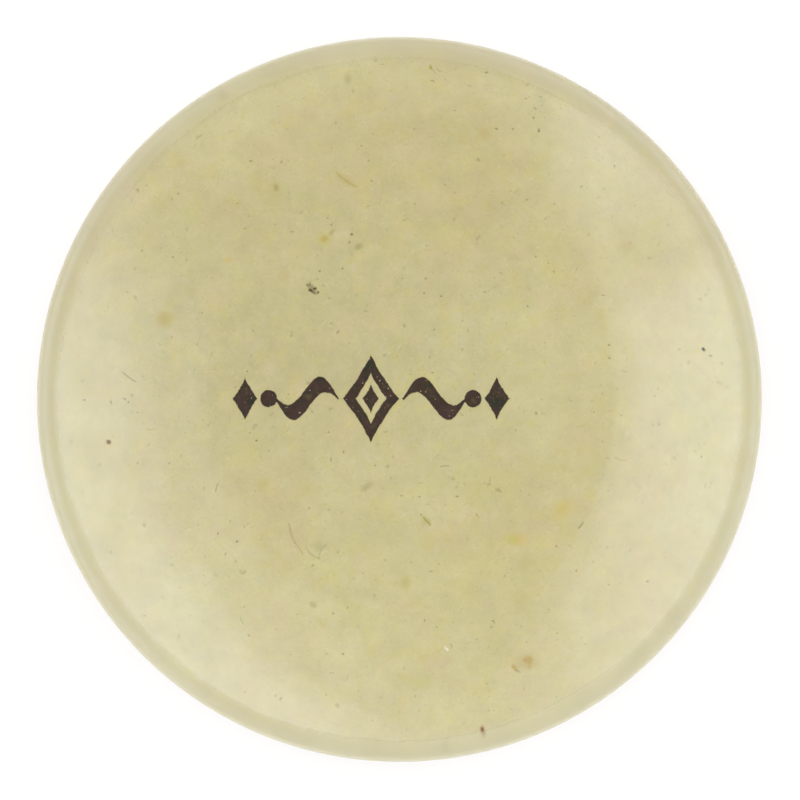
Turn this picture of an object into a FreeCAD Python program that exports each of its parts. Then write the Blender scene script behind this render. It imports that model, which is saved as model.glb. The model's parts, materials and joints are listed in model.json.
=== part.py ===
"""A shallow round decoupage dish: clear glass with a printed sheet glued under it.

The glass is a flat disc slumped into a dish. Its floor is flat, its rim sweeps up in one arc
that leaves the floor tangentially, and its edge is ground to a full round. Under the glass lie
five thin layers, each of even thickness and each following the one above: clear glue, the printed
sheet, glue again, a backing sheet, and a coat of lacquer that also seals the sheets' cut edge.

Millimetres. The origin is the middle of the face the dish rests on, and +Z is up.
"""

import FreeCAD
import Part

import math
import os

# Driving dimensions of the dish.
dish_diameter = 101.6
dish_height = 12.7
floor_diameter = 40.0
glass_thickness = 3.8

# Thicknesses of what lies under the glass, from the glass down.
print_glue_thickness = 0.10
print_sheet_thickness = 0.15
backing_glue_thickness = 0.10
backing_sheet_thickness = 0.22
lacquer_thickness = 0.10

# The sheets' cut edge is sealed by a bead of lacquer as wide as this, which stops this far short
# of the line where the glass starts to round over.
edge_bead_width = 0.20
edge_bead_margin = 0.25

# Depths below the dish's upper face, where one layer ends and the next starts.
glass_depth = glass_thickness
print_glue_depth = glass_depth + print_glue_thickness
print_sheet_depth = print_glue_depth + print_sheet_thickness
backing_glue_depth = print_sheet_depth + backing_glue_thickness
backing_sheet_depth = backing_glue_depth + backing_sheet_thickness
lacquer_depth = backing_sheet_depth + lacquer_thickness

# The rim is an arc drawn on the middle of the glass's thickness, from the floor's edge out to
# the centre of the rounded edge. Its run and rise set its tilt and its radius.
floor_radius = floor_diameter / 2
half_glass = glass_thickness / 2
floor_height = lacquer_depth
rim_run = dish_diameter / 2 - half_glass - floor_radius
rim_rise = dish_height - floor_height
rim_tilt = 2 * math.atan2(rim_rise, rim_run)
rim_radius = rim_run / math.sin(rim_tilt) - half_glass
sweep_centre_height = floor_height + rim_radius

# Angles round the rim's centre, measured from straight down, at which the layers stop.
underside_radius = rim_radius + glass_depth
bead_end_angle = rim_tilt - edge_bead_margin / underside_radius
trim_angle = bead_end_angle - edge_bead_width / underside_radius

up = FreeCAD.Vector(0, 0, 1)
origin = FreeCAD.Vector(0, 0, 0)


def axis_point(depth):
    """The point on the dish's axis at a depth below its upper face."""
    return FreeCAD.Vector(0, 0, floor_height - depth)


def floor_edge(depth):
    """The point where the flat floor ends and the rim's sweep starts, at a depth."""
    return FreeCAD.Vector(floor_radius, 0, floor_height - depth)


def rim_point(depth, angle):
    """The point of the rim's sweep at a depth and at an angle round the sweep's centre."""
    radius = rim_radius + depth
    return FreeCAD.Vector(
        floor_radius + radius * math.sin(angle),
        0,
        sweep_centre_height - radius * math.cos(angle),
    )


def line(start, end):
    return Part.LineSegment(start, end).toShape()


def sweep(depth, start_angle, end_angle):
    """The rim's arc at one depth, from one angle to another."""
    middle_angle = (start_angle + end_angle) / 2
    points = [rim_point(depth, angle) for angle in (start_angle, middle_angle, end_angle)]
    return Part.Arc(*points).toShape()


def turned(edges):
    """The solid of revolution of a closed profile of edges, given in order."""
    profile = Part.Face(Part.Wire(edges))
    return profile.revolve(origin, up, 360)


def even_layer(top_depth, bottom_depth):
    """A layer of even thickness that follows the dish and ends at the trimmed edge."""
    return turned(
        [
            line(axis_point(top_depth), floor_edge(top_depth)),
            sweep(top_depth, 0, trim_angle),
            line(rim_point(top_depth, trim_angle), rim_point(bottom_depth, trim_angle)),
            sweep(bottom_depth, trim_angle, 0),
            line(floor_edge(bottom_depth), axis_point(bottom_depth)),
            line(axis_point(bottom_depth), axis_point(top_depth)),
        ]
    )


def edge_point(angle):
    """The point of the rounded edge at an angle round its centre, from straight down."""
    centre = rim_point(half_glass, rim_tilt)
    return centre + FreeCAD.Vector(math.sin(angle), 0, -math.cos(angle)) * half_glass


def full_round():
    """The half circle that joins the two faces, with a vertex at its top and at its widest."""
    stops = [rim_tilt + math.pi, math.pi, math.pi / 2, rim_tilt]
    arcs = []
    for start_angle, end_angle in zip(stops, stops[1:]):
        angles = (start_angle, (start_angle + end_angle) / 2, end_angle)
        arcs.append(Part.Arc(*[edge_point(angle) for angle in angles]).toShape())
    return arcs


def glass_dish():
    """The slumped disc, with its two faces and the full round of its edge."""
    return turned(
        [
            line(axis_point(0), floor_edge(0)),
            sweep(0, 0, rim_tilt),
            *full_round(),
            sweep(glass_depth, rim_tilt, 0),
            line(floor_edge(glass_depth), axis_point(glass_depth)),
            line(axis_point(glass_depth), axis_point(0)),
        ]
    )


def lacquer_coat():
    """The coat under the backing sheet, with the bead that turns up round the cut edge."""
    return turned(
        [
            line(axis_point(backing_sheet_depth), floor_edge(backing_sheet_depth)),
            sweep(backing_sheet_depth, 0, trim_angle),
            line(rim_point(backing_sheet_depth, trim_angle), rim_point(glass_depth, trim_angle)),
            sweep(glass_depth, trim_angle, bead_end_angle),
            line(rim_point(glass_depth, bead_end_angle), rim_point(lacquer_depth, bead_end_angle)),
            sweep(lacquer_depth, bead_end_angle, 0),
            line(floor_edge(lacquer_depth), axis_point(lacquer_depth)),
            line(axis_point(lacquer_depth), axis_point(backing_sheet_depth)),
        ]
    )


nodes = {
    "glass_dish": glass_dish(),
    "print_glue": even_layer(glass_depth, print_glue_depth),
    "print_sheet": even_layer(print_glue_depth, print_sheet_depth),
    "backing_glue": even_layer(print_sheet_depth, backing_glue_depth),
    "backing_sheet": even_layer(backing_glue_depth, backing_sheet_depth),
    "lacquer_coat": lacquer_coat(),
}

os.makedirs("parts", exist_ok=True)
for name, solid in nodes.items():
    solid.exportStep(os.path.join("parts", name + ".step"))
    print(f"{name}: {solid.Volume:.1f} mm3")
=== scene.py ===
import bpy
import json
import math
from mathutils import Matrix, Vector


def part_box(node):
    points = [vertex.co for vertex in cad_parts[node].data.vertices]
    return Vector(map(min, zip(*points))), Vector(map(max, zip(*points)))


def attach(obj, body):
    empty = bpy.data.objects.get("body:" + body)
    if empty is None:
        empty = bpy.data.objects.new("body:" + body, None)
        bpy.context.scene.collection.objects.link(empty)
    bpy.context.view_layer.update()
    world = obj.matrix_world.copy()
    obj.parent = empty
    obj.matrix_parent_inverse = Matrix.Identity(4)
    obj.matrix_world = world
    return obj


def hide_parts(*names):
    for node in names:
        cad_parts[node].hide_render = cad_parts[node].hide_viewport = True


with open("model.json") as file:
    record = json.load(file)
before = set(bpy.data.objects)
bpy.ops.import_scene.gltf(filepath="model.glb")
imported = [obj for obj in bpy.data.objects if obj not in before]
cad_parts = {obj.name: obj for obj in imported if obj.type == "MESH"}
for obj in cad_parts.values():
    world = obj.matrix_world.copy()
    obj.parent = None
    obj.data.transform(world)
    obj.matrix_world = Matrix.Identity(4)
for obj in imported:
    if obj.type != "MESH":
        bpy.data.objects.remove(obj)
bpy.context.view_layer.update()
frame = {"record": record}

mm = 0.001

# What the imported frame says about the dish, in metres.
glassLow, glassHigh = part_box("glass_dish")
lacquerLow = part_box("lacquer_coat")[0]
mounts = {mount["name"]: mount for mount in frame["record"]["mounts"]}

dishForm = {
    "outerRadius": glassHigh.x,
    "rimHeight": glassHigh.z,
    "floorHeight": mounts["dish_floor"]["pos_m"][2],
    "glassThickness": mounts["dish_floor"]["pos_m"][2] - glassLow.z,
    "floorRadius": 20.0 * mm,  # the flat in the middle, as the solids have it
}

# The rim is one arc that leaves the flat floor tangentially. Its tilt and radius follow.
halfGlass = dishForm["glassThickness"] / 2
rimRun = dishForm["outerRadius"] - halfGlass - dishForm["floorRadius"]
rimRise = dishForm["rimHeight"] - dishForm["floorHeight"]
rimTilt = 2 * math.atan2(rimRise, rimRun)
sweepRadius = rimRun / math.sin(rimTilt) - halfGlass
sweepCentreHeight = dishForm["floorHeight"] + sweepRadius

# the dish's middle as the camera sees it, off the middle of the view, in mm
offCentre = (0.084, -0.077)

# radians of the glass's round edge, next to each face, that are polished and not ground
polishedTurn = 0.12


def rimPlace(depth, angle):
    # radius and height of a point of the rim, at a depth below the upper face
    reach = sweepRadius + depth
    return (
        dishForm["floorRadius"] + reach * math.sin(angle),
        sweepCentreHeight - reach * math.cos(angle),
    )


def put(tree, kind, inputs=None, **settings):
    # a node with its settings, and its inputs linked or set by name or number
    made = tree.nodes.new(kind)
    for name, value in settings.items():
        setattr(made, name, value)
    for key, value in (inputs or {}).items():
        if isinstance(value, bpy.types.NodeSocket):
            tree.links.new(value, made.inputs[key])
        else:
            made.inputs[key].default_value = value
    return made


def calc(tree, operation, *values, clamp=False):
    inputs = dict(enumerate(values))
    return put(tree, "ShaderNodeMath", inputs, operation=operation, use_clamp=clamp).outputs[0]


def times(tree, first, second):
    return calc(tree, "MULTIPLY", first, second)


def timesPlus(tree, first, second, added):
    return calc(tree, "MULTIPLY_ADD", first, second, added)


def minus(tree, whole, taken):
    return calc(tree, "SUBTRACT", whole, taken)


def vec(tree, operation, *values):
    inputs = dict(enumerate(values))
    made = put(tree, "ShaderNodeVectorMath", inputs, operation=operation)
    return made.outputs["Value" if operation in ("LENGTH", "DISTANCE", "DOT_PRODUCT") else "Vector"]


def joinXyz(tree, x=0.0, y=0.0, z=0.0):
    return put(tree, "ShaderNodeCombineXYZ", {0: x, 1: y, 2: z}).outputs[0]


def blendLevel(tree, share, first, second):
    # mixes two plain numbers
    step = minus(tree, second, first)
    return timesPlus(tree, step, share, first)


def grey(tree, level):
    return put(tree, "ShaderNodeCombineColor", {0: level, 1: level, 2: level}).outputs[0]


def splitXyz(tree, vector):
    return put(tree, "ShaderNodeSeparateXYZ", {0: vector}).outputs


def ramp(tree, value, low, high, start=0.0, end=1.0):
    # maps low..high to start..end smoothly, and holds the ends
    inputs = {"Value": value, "From Min": low, "From Max": high, "To Min": start, "To Max": end}
    made = put(tree, "ShaderNodeMapRange", inputs, interpolation_type="SMOOTHSTEP")
    return made.outputs["Result"]


def blend(tree, share, first, second, mode="MIX"):
    # mixes two colours; inputs 0, 6 and 7 are the factor and the colours
    made = put(tree, "ShaderNodeMix", data_type="RGBA", blend_type=mode)
    for key, value in ((0, share), (6, first), (7, second)):
        if isinstance(value, bpy.types.NodeSocket):
            tree.links.new(value, made.inputs[key])
        elif key == 0:
            made.inputs[key].default_value = value
        else:
            made.inputs[key].default_value = (*value, 1.0)
    return made.outputs[2]


def rough(tree, where, size, detail=3.0, seed=0.0):
    # for geometry: noise whose features are about this size, in the units of the place it reads
    moved = vec(tree, "ADD", where, (seed * 17.3, seed * 9.1, seed * 5.7))
    inputs = {"Vector": moved, "Scale": 1.0 / size, "Detail": detail, "Roughness": 0.55}
    return put(tree, "ShaderNodeTexNoise", inputs).outputs["Fac"]


def grain(tree, where, size, detail=3.0, roughness=0.55, seed=0.0, stretch=1.0, turn=0.0, curl=0.0):
    # for materials: noise whose features are about this size in mm, longer one way when stretched
    moved = put(
        tree,
        "ShaderNodeMapping",
        {
            "Vector": where,
            "Location": (seed * 0.0173, seed * 0.0091, seed * 0.0057),
            "Rotation": (0.0, 0.0, turn),
            "Scale": (size * stretch * mm, size * mm, size * mm),
        },
        vector_type="TEXTURE",
    ).outputs[0]
    inputs = {
        "Vector": moved,
        "Scale": 1.0,
        "Detail": detail,
        "Roughness": roughness,
        "Distortion": curl,
    }
    return put(tree, "ShaderNodeTexNoise", inputs).outputs["Fac"]


def patches(tree, where, size, detail, roughness, low, high, start=0.0, end=1.0, seed=0.0):
    # soft patches on a material: noise that starts at one level and is full at the next
    return ramp(tree, grain(tree, where, size, detail, roughness, seed), low, high, start, end)


def unevenness(tree, where, size, detail=3.0, roughness=0.55, seed=0.0):
    # noise around zero
    return minus(tree, grain(tree, where, size, detail, roughness, seed), 0.5)


def relief(tree, strength, depth, height):
    inputs = {"Strength": strength, "Distance": depth, "Height": height}
    return put(tree, "ShaderNodeBump", inputs).outputs[0]


def newMaterial(name):
    made = bpy.data.materials.new(name)
    made.use_nodes = True
    made.node_tree.nodes.clear()
    return made, made.node_tree


def finishMaterial(tree, colour, roughness, normal, extra=None):
    inputs = {"Base Color": colour, "Roughness": roughness, "Normal": normal, **(extra or {})}
    shader = put(tree, "ShaderNodeBsdfPrincipled", inputs).outputs[0]
    put(tree, "ShaderNodeOutputMaterial", {"Surface": shader})


def objectPlace(tree):
    return put(tree, "ShaderNodeTexCoord").outputs["Object"]


def srgb(red, green, blue):
    # an eye-matched colour, 0 to 255, as Blender's linear values
    def linear(value):
        value /= 255
        return value / 12.92 if value <= 0.04045 else ((value + 0.055) / 1.055) ** 2.4

    return tuple(linear(value) for value in (red, green, blue))


def linearTints(sizes):
    return {name: srgb(*tint) for name, tint in sizes["tints"].items()}


def placed(name, data):
    made = bpy.data.objects.new(name, data)
    bpy.context.scene.collection.objects.link(made)
    return made


def newGeometryTree(name, sizes, counts=()):
    tree = bpy.data.node_groups.new(name, "GeometryNodeTree")
    for label in sizes:
        tree.interface.new_socket(label, in_out="INPUT", socket_type="NodeSocketFloat")
    for label in counts:
        tree.interface.new_socket(label, in_out="INPUT", socket_type="NodeSocketInt")
    for label in ("Material", "Edge Material"):
        tree.interface.new_socket(label, in_out="INPUT", socket_type="NodeSocketMaterial")
    tree.interface.new_socket("Geometry", in_out="OUTPUT", socket_type="NodeSocketGeometry")
    return tree, put(tree, "NodeGroupInput").outputs


def finishGeometryTree(tree, mesh, size, edge=None):
    # edge picks the faces that take the second material
    shaded = put(tree, "GeometryNodeSetShadeSmooth", {"Geometry": mesh}).outputs[0]
    real = put(tree, "GeometryNodeRealizeInstances", {"Geometry": shaded}).outputs[0]
    inputs = {"Geometry": real, "Material": size["Material"]}
    painted = put(tree, "GeometryNodeSetMaterial", inputs).outputs[0]
    if edge is not None:
        inputs = {"Geometry": painted, "Selection": edge, "Material": size["Edge Material"]}
        painted = put(tree, "GeometryNodeSetMaterial", inputs).outputs[0]
    put(tree, "NodeGroupOutput", {"Geometry": painted})


# what a layer of the dish has unless its own dictionary says otherwise
plainLayer = {
    "floorRadius": dishForm["floorRadius"],
    "floorHeight": dishForm["floorHeight"],
    "sweepRadius": sweepRadius,
    "rimTilt": rimTilt,
    "trim": 0.0,
    "trimWander": 0.0,
    "waveHeight": 0.0,
    "waveSize": 1.0,
    "pleatHeight": 0.0,
    "pleatSize": 1.0,
    "edgeEase": 0.0,
    "easeWander": 0.0,
}

# hand-made unevenness round the rim: the size of its noise, as a share of the radius
trimNoise, easeNoiseSize = 0.35, 0.13
wavesEnd = (0.9, 1.0)  # the upper face's waves die out over this share of the rim
pleatCut = (0.56, 0.68)  # where in its noise a pleat starts and is full
pleatGrowth = 1.6  # how fast the pleats grow outwards, as a power


def dishLayerTree():
    # A closed sheet of one thickness, laid under the dish's upper face at a depth. A grid's
    # columns go round the axis. Its rows go out along the top, round the edge, and back below.
    tree, size = newGeometryTree(
        "dishLayer",
        (
            *("floorRadius", "floorHeight", "sweepRadius", "rimTilt", "depth", "thickness", "trim"),
            *("trimWander", "waveHeight", "waveSize", "pleatHeight", "pleatSize", "edgeEase"),
            *("easeWander", "faceShare", "seed"),
        ),
        ("rows", "columns"),
    )
    grid = put(
        tree,
        "GeometryNodeMeshGrid",
        {
            "Size X": 1.0,
            "Size Y": 1.0,
            "Vertices X": calc(tree, "ADD", size["columns"], 1.0),
            "Vertices Y": calc(tree, "ADD", size["rows"], 1.0),
        },
    ).outputs["Mesh"]
    place = splitXyz(tree, put(tree, "GeometryNodeInputPosition").outputs[0])
    turn = times(tree, calc(tree, "ADD", place[0], 0.5), -2 * math.pi)
    along = calc(tree, "ADD", place[1], 0.5)
    cosTurn, sinTurn = calc(tree, "COSINE", turn), calc(tree, "SINE", turn)

    # where the layer is cut, as an angle of the sweep; the cut wanders a little, as by hand
    seedShift = times(tree, size["seed"], 3.7)
    roundTheRim = joinXyz(tree, cosTurn, sinTurn, seedShift)
    wander = minus(tree, rough(tree, roundTheRim, trimNoise, 2.0), 0.5)
    cut = timesPlus(tree, wander, size["trimWander"], size["trim"])
    endAngle = minus(tree, size["rimTilt"], calc(tree, "DIVIDE", cut, size["sweepRadius"]))

    # the rows: out along the top, half a turn round the edge, back along the underside
    share = size["faceShare"]
    edgeShare = timesPlus(tree, share, -2.0, 1.0)
    outward = calc(tree, "DIVIDE", along, share, clamp=True)
    edgeStart = minus(tree, along, share)
    edgeTurn = times(tree, calc(tree, "DIVIDE", edgeStart, edgeShare, clamp=True), math.pi)
    backStart = minus(tree, edgeStart, edgeShare)
    inward = calc(tree, "DIVIDE", backStart, share, clamp=True)
    sweepLength = times(tree, size["sweepRadius"], endAngle)
    fullLength = calc(tree, "ADD", size["floorRadius"], sweepLength)

    # the edge is half a round; its upper quarter may start further in, as a hand-eased arris does
    half = times(tree, size["thickness"], 0.5)
    sinEdge = calc(tree, "SINE", edgeTurn)
    easeNoise = minus(tree, rough(tree, roundTheRim, easeNoiseSize, 3.0, seed=6.0), 0.5)
    ease = timesPlus(tree, easeNoise, size["easeWander"], size["edgeEase"])
    ease = calc(tree, "MAXIMUM", ease, 0.0)
    upperSide = calc(tree, "LESS_THAN", edgeTurn, math.pi / 2)
    ease = times(tree, ease, upperSide)
    ease = times(tree, ease, minus(tree, 1.0, sinEdge))
    pastEnd = minus(tree, times(tree, half, sinEdge), ease)
    edgeOut = calc(tree, "MAXIMUM", pastEnd, 0.0)
    beforeEnd = calc(tree, "MINIMUM", pastEnd, 0.0)
    length = times(tree, minus(tree, outward, inward), fullLength)
    length = timesPlus(tree, beforeEnd, outward, length)

    # the place on the dish: flat floor, then the sweep, then past it along the tangent
    onFloor = calc(tree, "MINIMUM", length, size["floorRadius"])
    pastFloor = calc(tree, "MAXIMUM", minus(tree, length, size["floorRadius"]), 0.0)
    angle = calc(tree, "DIVIDE", pastFloor, size["sweepRadius"])
    outShare = calc(tree, "DIVIDE", angle, endAngle, clamp=True)
    edgeDepth = times(tree, half, minus(tree, 1.0, calc(tree, "COSINE", edgeTurn)))
    depth = calc(tree, "ADD", size["depth"], edgeDepth)
    sinAngle, cosAngle = calc(tree, "SINE", angle), calc(tree, "COSINE", angle)

    # hand-made unevenness: slow waves in the upper face, pleats in the lower one
    onTop = ramp(tree, edgeTurn, 0.0, math.pi, 1.0, 0.0)
    flatPlace = joinXyz(tree, times(tree, cosTurn, length), times(tree, sinTurn, length), seedShift)
    waveAt = vec(tree, "DIVIDE", flatPlace, joinXyz(tree, *[size["waveSize"]] * 3))
    wave = minus(tree, rough(tree, waveAt, 1.0, 1.0), 0.5)
    wave = times(tree, wave, ramp(tree, outShare, *wavesEnd, 1.0, 0.0))
    lift = times(tree, times(tree, wave, size["waveHeight"]), onTop)
    pleatAt = vec(tree, "DIVIDE", roundTheRim, joinXyz(tree, *[size["pleatSize"]] * 3))
    pleat = ramp(tree, rough(tree, pleatAt, 1.0, 2.0, seed=4.0), *pleatCut)
    nearRim = calc(tree, "POWER", outShare, pleatGrowth)
    drop = times(tree, times(tree, pleat, nearRim), size["pleatHeight"])
    drop = times(tree, drop, minus(tree, 1.0, onTop))
    depth = calc(tree, "ADD", minus(tree, depth, lift), drop)

    reach = calc(tree, "ADD", size["sweepRadius"], depth)
    radius = timesPlus(tree, reach, sinAngle, onFloor)
    radius = timesPlus(tree, edgeOut, cosAngle, radius)
    centreHeight = calc(tree, "ADD", size["floorHeight"], size["sweepRadius"])
    height = minus(tree, centreHeight, times(tree, reach, cosAngle))
    height = timesPlus(tree, edgeOut, sinAngle, height)
    there = joinXyz(tree, times(tree, radius, cosTurn), times(tree, radius, sinTurn), height)
    fromSide = calc(tree, "ABSOLUTE", minus(tree, edgeTurn, math.pi / 2))
    ground = calc(tree, "LESS_THAN", fromSide, math.pi / 2 - polishedTurn)
    marked = tree.nodes.new("GeometryNodeCaptureAttribute")
    marked.capture_items.new("BOOLEAN", "On Edge")
    tree.links.new(grid, marked.inputs[0])
    tree.links.new(ground, marked.inputs[1])
    moved = {"Geometry": marked.outputs[0], "Position": there}
    shaped = put(tree, "GeometryNodeSetPosition", moved).outputs[0]
    closed = put(tree, "GeometryNodeMergeByDistance", {"Geometry": shaped, "Distance": 1e-6})
    finishGeometryTree(tree, closed.outputs[0], size, marked.outputs[1])
    return tree


def beadTree():
    # A bead of lacquer that follows the papers' cut edge, fuller in some places than others.
    tree, size = newGeometryTree(
        "rimBead",
        ("Radius", "Height", "Lean", "Width", "Tallness", "Unevenness", "Seed"),
        ("Steps", "Sides"),
    )
    path = put(
        tree,
        "GeometryNodeCurvePrimitiveCircle",
        {"Resolution": size["Steps"], "Radius": size["Radius"]},
    ).outputs["Curve"]
    place = put(tree, "GeometryNodeInputPosition").outputs[0]
    heading = vec(tree, "NORMALIZE", place)
    seeded = vec(tree, "ADD", heading, joinXyz(tree, 0.0, 0.0, size["Seed"]))
    swell = minus(tree, rough(tree, seeded, swellNoise), 0.5)
    fine = minus(tree, rough(tree, seeded, fineSwellNoise, 2.0, seed=2.0), 0.5)
    swell = timesPlus(tree, fine, 0.5, swell)
    raised = put(
        tree, "GeometryNodeSetPosition", {"Geometry": path, "Offset": joinXyz(tree, z=size["Height"])}
    ).outputs[0]
    fullness = timesPlus(tree, swell, size["Unevenness"], 1.0)
    sized = put(tree, "GeometryNodeSetCurveRadius", {"Curve": raised, "Radius": fullness}).outputs[0]
    upright = put(tree, "GeometryNodeSetCurveNormal", {"Curve": sized}, mode="Z_UP").outputs[0]
    leaned = put(tree, "GeometryNodeSetCurveTilt", {"Curve": upright, "Tilt": size["Lean"]}).outputs[0]
    ring = put(
        tree, "GeometryNodeCurvePrimitiveCircle", {"Resolution": size["Sides"], "Radius": 0.5}
    ).outputs["Curve"]
    section = put(
        tree,
        "GeometryNodeTransform",
        {"Geometry": ring, "Scale": joinXyz(tree, size["Width"], size["Tallness"], 1.0)},
    ).outputs[0]
    tube = put(tree, "GeometryNodeCurveToMesh", {"Curve": leaned, "Profile Curve": section})
    finishGeometryTree(tree, tube.outputs[0], size)
    return tree


def grow(name, tree, values, material, edgeMaterial=None):
    # runs a tree on an empty object and keeps the result as a plain mesh
    values = {**values, "Material": material, "Edge Material": edgeMaterial or material}
    seedMesh = bpy.data.meshes.new(name + "Seed")
    maker = placed(name + "Maker", seedMesh)
    modifier = maker.modifiers.new("shape", "NODES")
    modifier.node_group = tree
    for socket in tree.interface.items_tree:
        if socket.in_out == "INPUT":
            modifier[socket.identifier] = values[socket.name]
    bpy.context.view_layer.update()
    shown = maker.evaluated_get(bpy.context.evaluated_depsgraph_get())
    mesh = bpy.data.meshes.new_from_object(shown)
    maker.modifiers.remove(modifier)
    bpy.data.objects.remove(maker)
    bpy.data.meshes.remove(seedMesh)
    mesh.name = name
    piece = placed(name, mesh)
    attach(piece, "root")
    print(f"{name}: {len(mesh.polygons)} faces")
    return piece


def newShaderGroup(name, vectors, numbers):
    group = bpy.data.node_groups.new(name, "ShaderNodeTree")
    sockets = group.interface.new_socket
    for label in vectors:
        sockets(label, in_out="INPUT", socket_type="NodeSocketVector")
    for label in numbers:
        sockets(label, in_out="INPUT", socket_type="NodeSocketFloat")
    sockets("Mask", in_out="OUTPUT", socket_type="NodeSocketFloat")
    return group, put(group, "NodeGroupInput").outputs


def spotGroup():
    # One stain or speck: an ellipse with a soft, torn edge. The two ways are its axes, each
    # divided by its half length, so that both read 1 at the edge.
    group, given = newShaderGroup(
        "softSpot",
        ("Place", "Centre", "Long Way", "Short Way"),
        ("Torn", "Raggedness", "Inner", "Outer", "Strength"),
    )
    away = vec(group, "SUBTRACT", given["Place"], given["Centre"])
    lengthwise = vec(group, "DOT_PRODUCT", away, given["Long Way"])
    across = vec(group, "DOT_PRODUCT", away, given["Short Way"])
    reach = timesPlus(group, across, across, times(group, lengthwise, lengthwise))
    reach = timesPlus(group, given["Torn"], given["Raggedness"], calc(group, "SQRT", reach))
    mask = ramp(group, reach, given["Inner"], given["Outer"], given["Strength"], 0.0)
    put(group, "NodeGroupOutput", {"Mask": mask})
    return group


def hairGroup():
    # one fibre: a bowed hair between two points, thinner in places
    group, given = newShaderGroup(
        "fineHair", ("Place", "Start", "Run", "Share", "Side"), ("Torn", "Width", "Strength")
    )
    fromStart = vec(group, "SUBTRACT", given["Place"], given["Start"])
    along = vec(group, "DOT_PRODUCT", fromStart, given["Share"])
    along = calc(group, "ADD", along, 0.0, clamp=True)
    bulge = times(group, along, minus(group, 1.0, along))
    spine = vec(group, "ADD", scaled(group, given["Run"], along), scaled(group, given["Side"], bulge))
    gap = vec(group, "DISTANCE", fromStart, spine)
    half = times(group, given["Width"], calc(group, "ADD", given["Torn"], 0.6))
    mask = ramp(group, gap, times(group, half, 0.3), times(group, half, 1.5), 1.0, 0.0)
    put(group, "NodeGroupOutput", {"Mask": times(group, mask, given["Strength"])})
    return group


def scaled(tree, vector, amount):
    made = put(tree, "ShaderNodeVectorMath", {0: vector, "Scale": amount}, operation="SCALE")
    return made.outputs["Vector"]


softSpot = spotGroup()
fineHair = hairGroup()


def addSpots(tree, colour, where, torn, sizes, kind, tints):
    # each spot: x, y, half length, half width, turn in degrees, tint, strength, and its softness
    # and raggedness if they aren't the usual ones
    for x, y, halfLong, halfWide, turn, tint, strength, *edge in sizes[kind]:
        soft, ragged = edge or sizes["usualEdges"][kind]
        angle = math.radians(turn)
        values = {
            "Place": where,
            "Centre": (x, y, 0.0),
            "Long Way": (math.cos(angle) / halfLong, math.sin(angle) / halfLong, 0.0),
            "Short Way": (-math.sin(angle) / halfWide, math.cos(angle) / halfWide, 0.0),
            "Torn": torn,
            "Raggedness": ragged,
            "Inner": 1.0 - soft,
            "Outer": 1.0 + soft,
            "Strength": strength,
        }
        mask = put(tree, "ShaderNodeGroup", values, node_tree=softSpot).outputs[0]
        colour = blend(tree, mask, colour, tints[tint])
    return colour


def addHairs(tree, colour, where, torn, hairs, tints):
    # each hair: start, end, bow, width, tint, strength
    for start, end, bow, width, tint, strength in hairs:
        run = Vector((*end, 0.0)) - Vector((*start, 0.0))
        side = Vector((run.y, -run.x, 0.0)).normalized()
        values = {
            "Place": where,
            "Start": (*start, 0.0),
            "Run": tuple(run),
            "Share": tuple(run / run.length_squared),
            "Side": tuple(side * bow * 4.0),
            "Torn": torn,
            "Width": width,
            "Strength": strength,
        }
        mask = put(tree, "ShaderNodeGroup", values, node_tree=fineHair).outputs[0]
        colour = blend(tree, mask, colour, tints[tint])
    return colour


def shade(tree, colour, amount, strength):
    # lightens and darkens a colour by a noise around its middle value
    level = timesPlus(tree, minus(tree, amount, 0.5), strength, 1.0)
    return blend(tree, 1.0, colour, grey(tree, level), mode="MULTIPLY")


def fibreMask(tree, where, width, turn, low, high, seed):
    # short fibres that lie one way: a stretched and curled noise, cut high
    strands = grain(tree, where, width, 2.0, 0.5, seed, stretch=9.0, turn=turn, curl=0.4)
    return ramp(tree, strands, low, high)


# Here and below a row of patches is its size in mm, its detail and roughness, the levels of the
# noise where they start and are full, and how much there is at the two if it isn't 0 and 1.
glassDish = {
    "depth": 0.0,
    "thickness": dishForm["glassThickness"],
    "waveHeight": 0.06 * mm,  # the upper face of hand-slumped glass is a little uneven
    "waveSize": 18.0 * mm,
    "faceShare": 0.42,  # share of the rows on each face; the rest go round the edge
    "rows": 250,
    "columns": 384,
    "seed": 1.0,
    "colour": (0.99, 1.0, 0.992),
    "passColour": (0.985, 0.99, 0.985),
    "edgeEase": 0.35 * mm,
    "easeWander": 1.6 * mm,
    "shine": 1.8,  # the polish mirrors more than bare glass does
    "haze": 0.11,
    "edgeHaze": 0.46,  # the ground edge is polished less than the face is
    "edgeRoughness": 0.4,
    "edgeBand": (0.9 * mm, 0.5 * mm),  # the satin comes in over this, inside and past the arc's end
    "smears": (14.0, 4.0, 0.55, 0.45, 0.75, 0.0, 0.02),  # as added roughness
    "wheelMarks": (0.6, 0.4),  # size in mm, and how uneven they make the satin
    "ripple": (5.0, 0.04, 0.1 * mm),  # size in mm, strength and depth
}


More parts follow.
